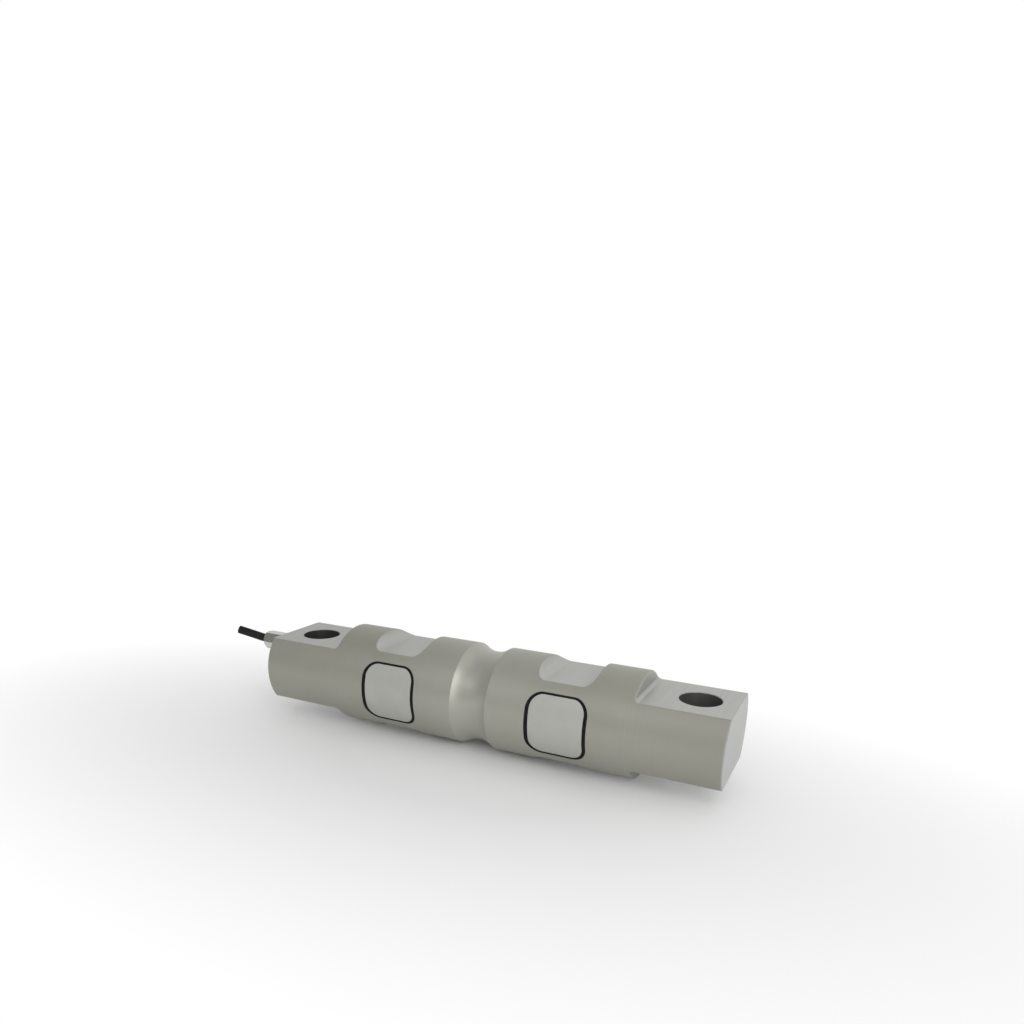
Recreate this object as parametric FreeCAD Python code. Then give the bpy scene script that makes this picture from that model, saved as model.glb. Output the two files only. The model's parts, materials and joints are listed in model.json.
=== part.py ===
import FreeCAD, Part
import math
import os
from FreeCAD import Placement, Rotation, Vector

# Double ended beam load cell, in millimetres.
# The origin is the middle of the bar, on its axis. +X runs along the bar to the plain end, the cable
# leaves at -X, +Z is up along the bolt holes, and -Y is the front.

# Bar
BAR_DIAMETER = 60.0
BEAM_LENGTH = 285.0
END_CHAMFER = 0.8

# Bolted ends: a flat milled above and below each bolt hole
BOLT_END_DISTANCE = 20.3
BOLT_HOLE_DIAMETER = 22.4
BOLT_HOLE_CHAMFER = 0.4
END_FLAT_LENGTH = 48.8
TOP_FLAT_HEIGHT = 20.0
BOTTOM_FLAT_DEPTH = 17.7
STEP_FILLET = 2.0
EDGE_BREAK = 1.2

# Load groove round the middle
GROOVE_WIDTH = 22.8
GROOVE_DEPTH = 3.7
GROOVE_LIP_RADIUS = 0.8

# Gauged sections: saddles above and below, pockets in front and behind, one web between the pockets
GAUGE_STATION = 52.9
SADDLE_LENGTH = 34.2
SADDLE_FLOOR_HEIGHT = 22.5
SADDLE_FILLET = 7.0
POCKET_LENGTH = 35.6
POCKET_HEIGHT = 35.6
POCKET_CORNER = 9.0
WEB_THICKNESS = 10.0

# Closing plates, bedded on a ledge with a bead of sealant round them
COVER_THICKNESS = 2.2
COVER_RECESS = 0.3
COVER_SIDE_GAP = 2.1
COVER_TOP_GAP = 1.1
LEDGE_CONTACT = 1.1
BOND_LINE = 0.1
SEAL_RECESS = 0.2
SEAL_FIT = 0.05

# Strain gauges and their solder strips on the web
GAUGE_LENGTH = 12.0
GAUGE_HEIGHT = 10.0
GAUGE_THICKNESS = 0.25
GRID_LINES = 5
GRID_LINE_WIDTH = 0.35
GRID_PITCH = 0.7
GRID_RELIEF = 0.1
TERMINAL_GAP = 1.5
TERMINAL_WIDTH = 4.0
TERMINAL_LENGTH = 12.0
TERMINAL_THICKNESS = 0.5
TERMINAL_PADS = 4
PAD_PITCH = 2.8
PAD_SIZE = 1.6
PAD_RELIEF = 0.2

# Leads and drillings
LEAD_DIAMETER = 1.2
LEAD_BEND = 2.0
WEB_HOLE_DIAMETER = 3.0
WEB_HOLE_GAP = 2.5
CHANNEL_DIAMETER = 4.5
CHANNEL_WALL = 2.5

# Compensation board in the rear left pocket
BOARD_LENGTH = 20.5
BOARD_HEIGHT = 20.5
BOARD_THICKNESS = 1.0
STANDOFF_DIAMETER = 2.6
STANDOFF_GAP = 1.9
RESISTOR_WIDTH = 1.6
RESISTOR_HEIGHT = 0.6
RESISTOR_LENGTH = 3.2
RESISTOR_COUNT = 4
RESISTOR_PITCH = 3.0

# Cable gland on the left end face
GLAND_HEIGHT = 4.1
GASKET_THICKNESS = 1.2
SPIGOT_DIAMETER = 8.0
SPIGOT_LENGTH = 8.0
SPIGOT_FIT = 0.1
GLAND_HEX = 11.1
BODY_HEX_LENGTH = 8.0
BODY_BARREL_DIAMETER = 10.2
BODY_BARREL_LENGTH = 11.3
NECK_DIAMETER = 8.6
NECK_LENGTH = 9.5
SEAL_LENGTH = 6.0
NUT_FIT = 0.15
NUT_CHAMFER = 0.5
NUT_FACE_LENGTH = 3.3
NUT_DOME_LENGTH = 2.4
NUT_RIM = 1.5
SOCKET_DEPTH = 5.8

# Cable
CABLE_DIAMETER = 5.5
CABLE_FIT = 0.1
CABLE_MOUTH_CLEARANCE = 0.6
SHEATH_BORE = 3.6
SHIELD_BORE = 2.9
SHIELD_FIT = 0.05
CORE_DIAMETER = 1.0
CORE_SPACING = 1.25
CORE_NAMES = ("red", "black", "green", "white")
CORE_PAD_PITCH = 2.2
CORE_PAD_RUN = 3.0
CORE_FAN_LENGTH = 3.8

# Share of the shorter run that each bend of the cable and its cores takes up
BEND_SHARE = 0.45

# Reach of a cutter beyond the stock
OVERCUT = 5.0

# Worked out from the sizes above
BAR_RADIUS = BAR_DIAMETER / 2
HALF_LENGTH = BEAM_LENGTH / 2
STEP_X = HALF_LENGTH - END_FLAT_LENGTH
BOLT_X = HALF_LENGTH - BOLT_END_DISTANCE
COVER_OUTER_RADIUS = BAR_RADIUS - COVER_RECESS
COVER_INNER_RADIUS = COVER_OUTER_RADIUS - COVER_THICKNESS
LEDGE_RADIUS = COVER_INNER_RADIUS - BOND_LINE
COVER_LENGTH = POCKET_LENGTH - 2 * COVER_SIDE_GAP
COVER_HEIGHT = POCKET_HEIGHT - 2 * COVER_TOP_GAP
COVER_CORNER = POCKET_CORNER - (COVER_SIDE_GAP + COVER_TOP_GAP) / 2
WELL_LENGTH = COVER_LENGTH - 2 * LEDGE_CONTACT
WELL_HEIGHT = COVER_HEIGHT - 2 * LEDGE_CONTACT
WELL_CORNER = COVER_CORNER - LEDGE_CONTACT
WEB_FACE = WEB_THICKNESS / 2
TERMINAL_OFFSET = GAUGE_LENGTH / 2 + TERMINAL_GAP + TERMINAL_WIDTH / 2
PAD_TOP = WEB_FACE + TERMINAL_THICKNESS + PAD_RELIEF
WEB_HOLE_Z = -(TERMINAL_LENGTH / 2 + WEB_HOLE_GAP + WEB_HOLE_DIAMETER / 2)
CHANNEL_Y = BOLT_HOLE_DIAMETER / 2 + CHANNEL_WALL + CHANNEL_DIAMETER / 2
BOARD_TOP = CHANNEL_Y - CORE_DIAMETER / 2
BOARD_UNDERSIDE = BOARD_TOP - BOARD_THICKNESS
BOARD_RIGHT = -GAUGE_STATION + TERMINAL_OFFSET + TERMINAL_WIDTH / 2
BOARD_LEFT = BOARD_RIGHT - BOARD_LENGTH
HEX_END = GASKET_THICKNESS + BODY_HEX_LENGTH
BARREL_END = HEX_END + BODY_BARREL_LENGTH
NECK_END = BARREL_END + NECK_LENGTH
SEAL_END = NECK_END + SEAL_LENGTH
NUT_MOUTH = SEAL_END + NUT_FACE_LENGTH
SOCKET_START = NECK_END - SOCKET_DEPTH

# The cable's route, chosen by hand: straight through the gland, then a slight bend up and to the front
CABLE_ROUTE = (
    Vector(-(HALF_LENGTH + SOCKET_START), CHANNEL_Y, GLAND_HEIGHT),
    Vector(-(HALF_LENGTH + SOCKET_START + 16.8), CHANNEL_Y, GLAND_HEIGHT),
    Vector(-(HALF_LENGTH + SOCKET_START + 27.0), CHANNEL_Y - 1.7, GLAND_HEIGHT + 2.3),
    Vector(-(HALF_LENGTH + SOCKET_START + 36.5), CHANNEL_Y - 5.0, GLAND_HEIGHT + 5.0),
)


def drill_x(diameter, x_from, x_to, y, z):
    """Round drilling or bar parallel to the beam."""
    return Part.makeCylinder(diameter / 2, x_to - x_from, Vector(x_from, y, z), Vector(1, 0, 0))


def post_y(diameter, x, y_from, y_to, z):
    """Round drilling or post that runs from front to rear."""
    return Part.makeCylinder(diameter / 2, y_to - y_from, Vector(x, y_from, z), Vector(0, 1, 0))


def centred_box(size, centre):
    """Block of the given X, Y and Z size about its centre."""
    corner = centre - Vector(*size) * 0.5
    return Part.makeBox(size[0], size[1], size[2], corner)


def extruded(edges, direction):
    """Solid swept from a closed outline."""
    return Part.Face(Part.Wire(edges)).extrude(direction)


def line(start, end):
    return Part.makeLine(start, end)


def arc(start, middle, end):
    return Part.Arc(start, middle, end).toShape()


def turned_bar():
    """Round bar with chamfered ends, and the load groove turned with broken lips and a round floor."""
    half_width = GROOVE_WIDTH / 2
    floor_radius = (half_width**2 + GROOVE_DEPTH**2) / (2 * GROOVE_DEPTH) - GROOVE_LIP_RADIUS
    lip_turn = math.asin(half_width / (floor_radius + GROOVE_LIP_RADIUS))

    def lip(side, turn):
        x = half_width - GROOVE_LIP_RADIUS * math.sin(turn)
        return Vector(side * x, BAR_RADIUS - GROOVE_LIP_RADIUS * (1 - math.cos(turn)), 0)

    def end(side):
        return (
            Vector(side * HALF_LENGTH, 0, 0),
            Vector(side * HALF_LENGTH, BAR_RADIUS - END_CHAMFER, 0),
            Vector(side * (HALF_LENGTH - END_CHAMFER), BAR_RADIUS, 0),
        )

    left_axis, left_face, left_rim = end(-1)
    right_axis, right_face, right_rim = end(1)
    floor = Vector(0, BAR_RADIUS - GROOVE_DEPTH, 0)
    outline = [
        line(left_axis, left_face),
        line(left_face, left_rim),
        line(left_rim, lip(-1, 0)),
        arc(lip(-1, 0), lip(-1, lip_turn / 2), lip(-1, lip_turn)),
        arc(lip(-1, lip_turn), floor, lip(1, lip_turn)),
        arc(lip(1, lip_turn), lip(1, lip_turn / 2), lip(1, 0)),
        line(lip(1, 0), right_rim),
        line(right_rim, right_face),
        line(right_face, right_axis),
        line(right_axis, left_axis),
    ]
    return Part.Face(Part.Wire(outline)).revolve(Vector(0, 0, 0), Vector(1, 0, 0), 360)


def end_flat_cut(end, up, level):
    """Cut over one bolted end. The cutter leaves its radius in the corner at the step."""
    far_x = HALF_LENGTH + OVERCUT
    far_z = BAR_RADIUS + OVERCUT
    slack = STEP_FILLET * (1 - math.sqrt(0.5))

    def at(x, z):
        return Vector(end * x, -far_z, up * z)

    outline = [
        line(at(STEP_X, far_z), at(STEP_X, level + STEP_FILLET)),
        arc(
            at(STEP_X, level + STEP_FILLET),
            at(STEP_X + slack, level + slack),
            at(STEP_X + STEP_FILLET, level),
        ),
        line(at(STEP_X + STEP_FILLET, level), at(far_x, level)),
        line(at(far_x, level), at(far_x, far_z)),
        line(at(far_x, far_z), at(STEP_X, far_z)),
    ]
    return extruded(outline, Vector(0, 2 * far_z, 0))


def bolt_hole(end):
    """Through hole with a small chamfer at each flat."""
    x = end * BOLT_X
    radius = BOLT_HOLE_DIAMETER / 2
    wide = radius + BOLT_HOLE_CHAMFER
    shank = Part.makeCylinder(radius, 2 * BAR_RADIUS, Vector(x, 0, -BAR_RADIUS))
    top = Part.makeCone(
        radius, wide, BOLT_HOLE_CHAMFER, Vector(x, 0, TOP_FLAT_HEIGHT - BOLT_HOLE_CHAMFER)
    )
    bottom = Part.makeCone(wide, radius, BOLT_HOLE_CHAMFER, Vector(x, 0, -BOTTOM_FLAT_DEPTH))
    return shank.fuse([top, bottom])


def saddle_cut(end, up):
    """Relief over a gauged section, with round corners where the walls meet the floor."""
    near = -SADDLE_LENGTH / 2
    far = SADDLE_LENGTH / 2
    far_z = BAR_RADIUS + OVERCUT
    floor = SADDLE_FLOOR_HEIGHT
    slack = SADDLE_FILLET * (1 - math.sqrt(0.5))

    def at(x, z):
        return Vector(end * (GAUGE_STATION + x), -far_z, up * z)

    outline = [
        line(at(near, far_z), at(near, floor + SADDLE_FILLET)),
        arc(
            at(near, floor + SADDLE_FILLET),
            at(near + slack, floor + slack),
            at(near + SADDLE_FILLET, floor),
        ),
        line(at(near + SADDLE_FILLET, floor), at(far - SADDLE_FILLET, floor)),
        arc(
            at(far - SADDLE_FILLET, floor),
            at(far - slack, floor + slack),
            at(far, floor + SADDLE_FILLET),
        ),
        line(at(far, floor + SADDLE_FILLET), at(far, far_z)),
        line(at(far, far_z), at(near, far_z)),
    ]
    return extruded(outline, Vector(0, 2 * far_z, 0))


def rounded_prism(end, side, length, height, corner, depth_from):
    """Rounded rectangle at a gauged section, from a depth in the bar out past its front or rear."""
    half_x = length / 2
    half_z = height / 2
    slack = corner * (1 - math.sqrt(0.5))

    def at(x, z):
        return Vector(end * GAUGE_STATION + x, side * depth_from, z)

    outline = []
    for turn_x, turn_z in ((1, 1), (-1, -1)):
        top_from = at(turn_x * (corner - half_x), turn_z * half_z)
        top_to = at(turn_x * (half_x - corner), turn_z * half_z)
        first_bend = at(turn_x * (half_x - slack), turn_z * (half_z - slack))
        side_from = at(turn_x * half_x, turn_z * (half_z - corner))
        side_to = at(turn_x * half_x, turn_z * (corner - half_z))
        second_bend = at(turn_x * (half_x - slack), turn_z * (slack - half_z))
        next_from = at(turn_x * (half_x - corner), -turn_z * half_z)
        outline += [
            line(top_from, top_to),
            arc(top_to, first_bend, side_from),
            line(side_from, side_to),
            arc(side_to, second_bend, next_from),
        ]
    reach = BAR_RADIUS + OVERCUT - depth_from
    return extruded(outline, Vector(0, side * reach, 0))


def round_core(radius):
    """Solid bar of a given radius over the gauged sections."""
    return drill_x(2 * radius, -HALF_LENGTH, HALF_LENGTH, 0, 0)


def pocket_cut(end, side):
    """Pocket for one closing plate: a curved ledge near the surface, and the well down to the web."""
    mouth = rounded_prism(end, side, POCKET_LENGTH, POCKET_HEIGHT, POCKET_CORNER, WEB_FACE)
    well = rounded_prism(end, side, WELL_LENGTH, WELL_HEIGHT, WELL_CORNER, WEB_FACE)
    return mouth.cut(round_core(LEDGE_RADIUS)).fuse(well)


def wire_drillings():
    """Gland hole, wire channel beside the left bolt hole, channel under the groove, holes in the webs."""
    spigot = drill_x(
        SPIGOT_DIAMETER + 2 * SPIGOT_FIT,
        -HALF_LENGTH - OVERCUT,
        -HALF_LENGTH + SPIGOT_LENGTH + SPIGOT_FIT,
        CHANNEL_Y,
        GLAND_HEIGHT,
    )
    channel = drill_x(CHANNEL_DIAMETER, -HALF_LENGTH - OVERCUT, GAUGE_STATION, CHANNEL_Y, GLAND_HEIGHT)
    web_holes = [
        post_y(WEB_HOLE_DIAMETER, terminal_x(end), -WEB_THICKNESS, WEB_THICKNESS, WEB_HOLE_Z)
        for end in (-1, 1)
    ]
    return [spigot, channel] + web_holes


def terminal_x(end):
    """The solder strips and leads lie on the side of the gauge towards the middle of the beam."""
    return end * (GAUGE_STATION - TERMINAL_OFFSET)


def beam():
    cutters = wire_drillings()
    for end in (-1, 1):
        cutters.append(end_flat_cut(end, 1, TOP_FLAT_HEIGHT))
        cutters.append(end_flat_cut(end, -1, BOTTOM_FLAT_DEPTH))
        cutters.append(bolt_hole(end))
        cutters.append(saddle_cut(end, 1))
        cutters.append(saddle_cut(end, -1))
        cutters.append(pocket_cut(end, -1))
        cutters.append(pocket_cut(end, 1))
    machined = turned_bar().cut(cutters)
    collar_arcs = [edge for edge in machined.Edges if is_collar_arc(edge)]
    return machined.makeFillet(EDGE_BREAK, collar_arcs).Solids[0]


def is_collar_arc(edge):
    """Picks the round edge over each step. A round there runs on along the edges of the flat."""
    curve = edge.Curve
    if not isinstance(curve, Part.Circle):
        return False
    on_bar = abs(curve.Radius - BAR_RADIUS) < 1e-6
    return on_bar and abs(abs(curve.Center.x) - STEP_X) < 1e-6


def pocket_cover(end, side):
    """Plate rolled to the bar's curve."""
    blank = rounded_prism(end, side, COVER_LENGTH, COVER_HEIGHT, COVER_CORNER, WEB_FACE)
    return blank.common(round_core(COVER_OUTER_RADIUS)).cut(round_core(COVER_INNER_RADIUS))


def cover_seal(end, side):
    """Bead of sealant that fills the gap round a plate."""
    outer_length = POCKET_LENGTH - 2 * SEAL_FIT
    outer_height = POCKET_HEIGHT - 2 * SEAL_FIT
    inner_length = COVER_LENGTH + 2 * SEAL_FIT
    inner_height = COVER_HEIGHT + 2 * SEAL_FIT
    outer = rounded_prism(end, side, outer_length, outer_height, POCKET_CORNER - SEAL_FIT, WEB_FACE)
    inner = rounded_prism(end, side, inner_length, inner_height, COVER_CORNER + SEAL_FIT, WEB_FACE)
    skin = round_core(COVER_OUTER_RADIUS - SEAL_RECESS).cut(round_core(COVER_INNER_RADIUS))
    return outer.cut(inner).common(skin)


def strain_gauge(end, side):
    """Foil shear gauge: a film bonded to the web, with two grids that lie at 45 degrees."""
    x = end * GAUGE_STATION
    film_top = WEB_FACE + GAUGE_THICKNESS
    film = centred_box(
        (GAUGE_LENGTH, GAUGE_THICKNESS, GAUGE_HEIGHT),
        Vector(x, side * (WEB_FACE + GAUGE_THICKNESS / 2), 0),
    )
    grid_length = GAUGE_LENGTH / 3
    bars = []
    for grid in (-1, 1):
        for index in range(GRID_LINES):
            offset = (index - (GRID_LINES - 1) / 2) * GRID_PITCH
            bar = centred_box(
                (grid_length, GAUGE_THICKNESS + GRID_RELIEF, GRID_LINE_WIDTH),
                Vector(0, side * (film_top + GRID_RELIEF - (GAUGE_THICKNESS + GRID_RELIEF) / 2), offset),
            )
            bar.rotate(Vector(0, 0, 0), Vector(0, 1, 0), -45 * grid)
            bar.translate(Vector(x + grid * GAUGE_LENGTH / 4, 0, 0))
            bars.append(bar)
    return film.fuse(bars).removeSplitter()


def solder_terminal(end, side):
    """Strip with raised pads, bonded to the web beside the gauge."""
    x = terminal_x(end)
    strip = centred_box(
        (TERMINAL_WIDTH, TERMINAL_THICKNESS, TERMINAL_LENGTH),
        Vector(x, side * (WEB_FACE + TERMINAL_THICKNESS / 2), 0),
    )
    pads = [
        centred_box(
            (PAD_SIZE, PAD_TOP - WEB_FACE, PAD_SIZE), Vector(x, side * (WEB_FACE + PAD_TOP) / 2, pad_z(index))
        )
        for index in range(TERMINAL_PADS)
    ]
    return strip.fuse(pads).removeSplitter()


def pad_z(index):
    return (index - (TERMINAL_PADS - 1) / 2) * PAD_PITCH


def route_wire(points, radii):
    """Straight runs joined by arcs that are tangent to them."""
    edges = []
    start = points[0]
    for corner, before, after, radius in zip(points[1:-1], points[:-2], points[2:], radii):
        into = (corner - before).normalize()
        out = (after - corner).normalize()
        half_turn = into.getAngle(out) / 2
        setback = radius * math.tan(half_turn)
        arc_start = corner - into * setback
        arc_end = corner + out * setback
        inward = (out - into).normalize()
        arc_middle = corner + inward * (radius / math.cos(half_turn) - radius)
        edges.append(line(start, arc_start))
        edges.append(arc(arc_start, arc_middle, arc_end))
        start = arc_end
    edges.append(line(start, points[-1]))
    return Part.Wire(edges)


def largest_radii(points):
    """Arcs as large as the two runs at each corner leave room for."""
    radii = []
    for corner, before, after in zip(points[1:-1], points[:-2], points[2:]):
        into = corner - before
        out = after - corner
        shorter = min(into.Length, out.Length)
        radii.append(BEND_SHARE * shorter / math.tan(into.getAngle(out) / 2))
    return radii


def tube(path, diameter, bore=0.0):
    """Round wire, or a tube where it has a bore, along a path."""
    start = path.Vertexes[0].Point
    direction = path.Edges[0].tangentAt(path.Edges[0].FirstParameter)

    def swept(size):
        ring = Part.Wire(Part.makeCircle(size / 2, start, direction))
        return path.makePipeShell([ring], True, False)

    solid = swept(diameter)
    if bore > 0:
        solid = solid.cut(swept(bore))
    return solid


def web_lead(end):
    """Lead from the front solder strip, through the hole in the web, to the rear strip."""
    x = terminal_x(end)
    y = PAD_TOP + LEAD_DIAMETER / 2
    z_strip = pad_z(0)
    points = (
        Vector(x, -y, z_strip),
        Vector(x, -y, WEB_HOLE_Z),
        Vector(x, y, WEB_HOLE_Z),
        Vector(x, y, z_strip),
    )
    return tube(route_wire(points, (LEAD_BEND, LEAD_BEND)), LEAD_DIAMETER)


def cross_lead():
    """Lead from the board, through the channel under the groove, down to the rear right strip."""
    y = BOARD_TOP + LEAD_DIAMETER / 2
    points = (
        Vector(BOARD_RIGHT - TERMINAL_WIDTH, y, GLAND_HEIGHT),
        Vector(terminal_x(1), y, GLAND_HEIGHT),
        Vector(terminal_x(1), PAD_TOP, GLAND_HEIGHT),
    )
    return tube(route_wire(points, (LEAD_BEND,)), LEAD_DIAMETER)


def trim_board():
    """Board that stands over the rear left gauge, level with the wire channel."""
    centre = Vector((BOARD_LEFT + BOARD_RIGHT) / 2, BOARD_UNDERSIDE + BOARD_THICKNESS / 2, 0)
    return centred_box((BOARD_LENGTH, BOARD_THICKNESS, BOARD_HEIGHT), centre)


def board_standoffs():
    """Four posts that carry the board clear of the gauge."""
    x_offset = TERMINAL_OFFSET - TERMINAL_WIDTH / 2 - STANDOFF_DIAMETER / 2
    z_offset = GAUGE_HEIGHT / 2 + STANDOFF_GAP + STANDOFF_DIAMETER / 2
    posts = [
        post_y(STANDOFF_DIAMETER, -GAUGE_STATION + side * x_offset, WEB_FACE, BOARD_UNDERSIDE, up * z_offset)
        for side in (-1, 1)
        for up in (-1, 1)
    ]
    return Part.makeCompound(posts)


def trim_resistors():
    """Row of trimming resistors soldered on the board, below the cable's cores."""
    size = (RESISTOR_WIDTH, RESISTOR_HEIGHT, RESISTOR_LENGTH)
    row_start = -GAUGE_STATION - (RESISTOR_COUNT - 1) * RESISTOR_PITCH / 2
    chips = []
    for index in range(RESISTOR_COUNT):
        x = row_start + index * RESISTOR_PITCH
        chips.append(centred_box(size, Vector(x, BOARD_TOP + RESISTOR_HEIGHT / 2, -RESISTOR_LENGTH)))
    return Part.makeCompound(chips)


def board_leads():
    """Straight wires up to the board, from the pads that the web lead leaves free."""
    wires = [
        post_y(LEAD_DIAMETER / 2, terminal_x(-1), PAD_TOP, BOARD_UNDERSIDE, pad_z(index))
        for index in range(1, TERMINAL_PADS)
    ]
    return Part.makeCompound(wires)


def on_gland_axis(shape):
    """Moves a shape built along +Z, outwards from zero, to the gland on the left end face."""
    place = Placement(Vector(-HALF_LENGTH, CHANNEL_Y, GLAND_HEIGHT), Rotation(Vector(0, 1, 0), -90))
    shape.Placement = place.multiply(shape.Placement)
    return shape


def rod_z(diameter, z_from, z_to):
    return Part.makeCylinder(diameter / 2, z_to - z_from, Vector(0, 0, z_from))


def hexagon_z(across_flats, z_from, z_to):
    """Hexagon bar that has two of its flats level on the finished part."""
    corner_radius = across_flats / math.sqrt(3)
    corners = []
    for index in range(7):
        angle = math.radians(60 * index + 30)
        corners.append(Vector(corner_radius * math.cos(angle), corner_radius * math.sin(angle), z_from))
    edges = [line(a, b) for a, b in zip(corners[:-1], corners[1:])]
    return extruded(edges, Vector(0, 0, z_to - z_from))


def gland_gasket():
    ring = rod_z(GLAND_HEX, 0, GASKET_THICKNESS)
    return on_gland_axis(ring.cut(rod_z(SPIGOT_DIAMETER + 2 * SPIGOT_FIT, 0, GASKET_THICKNESS)))


def gland_body():
    """Spigot in the beam, hexagon, barrel, and the neck that the nut screws on."""
    solid = rod_z(SPIGOT_DIAMETER, -SPIGOT_LENGTH, GASKET_THICKNESS)
    solid = solid.fuse(
        [
            hexagon_z(GLAND_HEX, GASKET_THICKNESS, HEX_END),
            rod_z(BODY_BARREL_DIAMETER, HEX_END, BARREL_END),
            rod_z(NECK_DIAMETER, BARREL_END, NECK_END),
        ]
    )
    wire_way = rod_z(CHANNEL_DIAMETER, -SPIGOT_LENGTH, SOCKET_START)
    socket = rod_z(CABLE_DIAMETER + 2 * CABLE_FIT, SOCKET_START, NECK_END)
    return on_gland_axis(solid.cut([wire_way, socket]).removeSplitter())


def gland_seal():
    """Rubber sleeve that the nut squeezes onto the cable."""
    sleeve = rod_z(NECK_DIAMETER, NECK_END, SEAL_END)
    return on_gland_axis(sleeve.cut(rod_z(CABLE_DIAMETER + 2 * CABLE_FIT, NECK_END, SEAL_END)))


def gland_nut():
    """Hexagon nut with a domed end and a mouth for the cable."""
    corner_radius = GLAND_HEX / math.sqrt(3)
    mouth_diameter = CABLE_DIAMETER + 2 * CABLE_MOUTH_CLEARANCE
    rim_radius = mouth_diameter / 2 + NUT_RIM
    start = BARREL_END + NUT_FIT
    dome_start = NUT_MOUTH - NUT_DOME_LENGTH
    shoulder = Vector(corner_radius, 0, dome_start)
    rim = Vector(rim_radius, 0, NUT_MOUTH)
    crown_share = math.sqrt(0.5)
    crown_radius = rim_radius + (corner_radius - rim_radius) * crown_share
    crown = Vector(crown_radius, 0, dome_start + NUT_DOME_LENGTH * crown_share)
    half_outline = [
        line(Vector(0, 0, start), Vector(corner_radius - NUT_CHAMFER, 0, start)),
        line(Vector(corner_radius - NUT_CHAMFER, 0, start), Vector(corner_radius, 0, start + NUT_CHAMFER)),
        line(Vector(corner_radius, 0, start + NUT_CHAMFER), shoulder),
        arc(shoulder, crown, rim),
        line(rim, Vector(0, 0, NUT_MOUTH)),
        line(Vector(0, 0, NUT_MOUTH), Vector(0, 0, start)),
    ]
    turned = Part.Face(Part.Wire(half_outline)).revolve(Vector(0, 0, 0), Vector(0, 0, 1), 360)
    thread = rod_z(NECK_DIAMETER + 2 * NUT_FIT, start, SEAL_END)
    mouth = rod_z(mouth_diameter, SEAL_END, NUT_MOUTH)
    return on_gland_axis(hexagon_z(GLAND_HEX, start, NUT_MOUTH).common(turned).cut([thread, mouth]))


def cable_path():
    return route_wire(CABLE_ROUTE, largest_radii(CABLE_ROUTE))


def cable_sheath():
    return tube(cable_path(), CABLE_DIAMETER, SHEATH_BORE)


def cable_shield():
    return tube(cable_path(), SHEATH_BORE - 2 * SHIELD_FIT, SHIELD_BORE)


def cable_core(index):
    """One core, from its place on the board through the channel and the gland to the cable's cut end."""
    offset = Vector(0, (index % 2 - 0.5) * CORE_SPACING, (index // 2 - 0.5) * CORE_SPACING)
    pad_z_level = GLAND_HEIGHT + (index - (len(CORE_NAMES) - 1) / 2) * CORE_PAD_PITCH
    fan_start = BOARD_LEFT - CORE_PAD_RUN
    points = [
        Vector(BOARD_LEFT + CORE_PAD_RUN, CHANNEL_Y, pad_z_level),
        Vector(fan_start, CHANNEL_Y, pad_z_level),
        Vector(fan_start - CORE_FAN_LENGTH, CHANNEL_Y, GLAND_HEIGHT) + offset,
    ]
    points += [point + offset for point in CABLE_ROUTE[1:]]
    radii = largest_radii(points[:4]) + largest_radii(CABLE_ROUTE)
    return tube(route_wire(points, radii), CORE_DIAMETER)


def main():
    os.makedirs("parts", exist_ok=True)
    shapes = {"beam": beam()}
    for side_name, side in (("front", -1), ("rear", 1)):
        for end_name, end in (("left", -1), ("right", 1)):
            place = f"{side_name}_{end_name}"
            shapes[f"pocket_cover_{place}"] = pocket_cover(end, side)
            shapes[f"cover_seal_{place}"] = cover_seal(end, side)
            shapes[f"strain_gauge_{place}"] = strain_gauge(end, side)
            shapes[f"solder_terminal_{place}"] = solder_terminal(end, side)
    shapes["web_lead_left"] = web_lead(-1)
    shapes["web_lead_right"] = web_lead(1)
    shapes["cross_lead"] = cross_lead()
    shapes["trim_board"] = trim_board()
    shapes["trim_resistors"] = trim_resistors()
    shapes["board_standoffs"] = board_standoffs()
    shapes["board_leads"] = board_leads()
    shapes["gland_gasket"] = gland_gasket()
    shapes["gland_body"] = gland_body()
    shapes["gland_seal"] = gland_seal()
    shapes["gland_nut"] = gland_nut()
    shapes["cable_sheath"] = cable_sheath()
    shapes["cable_shield"] = cable_shield()
    for index, colour in enumerate(CORE_NAMES):
        shapes[f"core_{colour}"] = cable_core(index)
    for node, shape in shapes.items():
        shape.exportStep(f"parts/{node}.step")
    print("cable bend radii", [round(radius, 1) for radius in largest_radii(CABLE_ROUTE)])


main()
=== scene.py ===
import json
import math

import bpy
from mathutils import Matrix, Quaternion, Vector, noise


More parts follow.
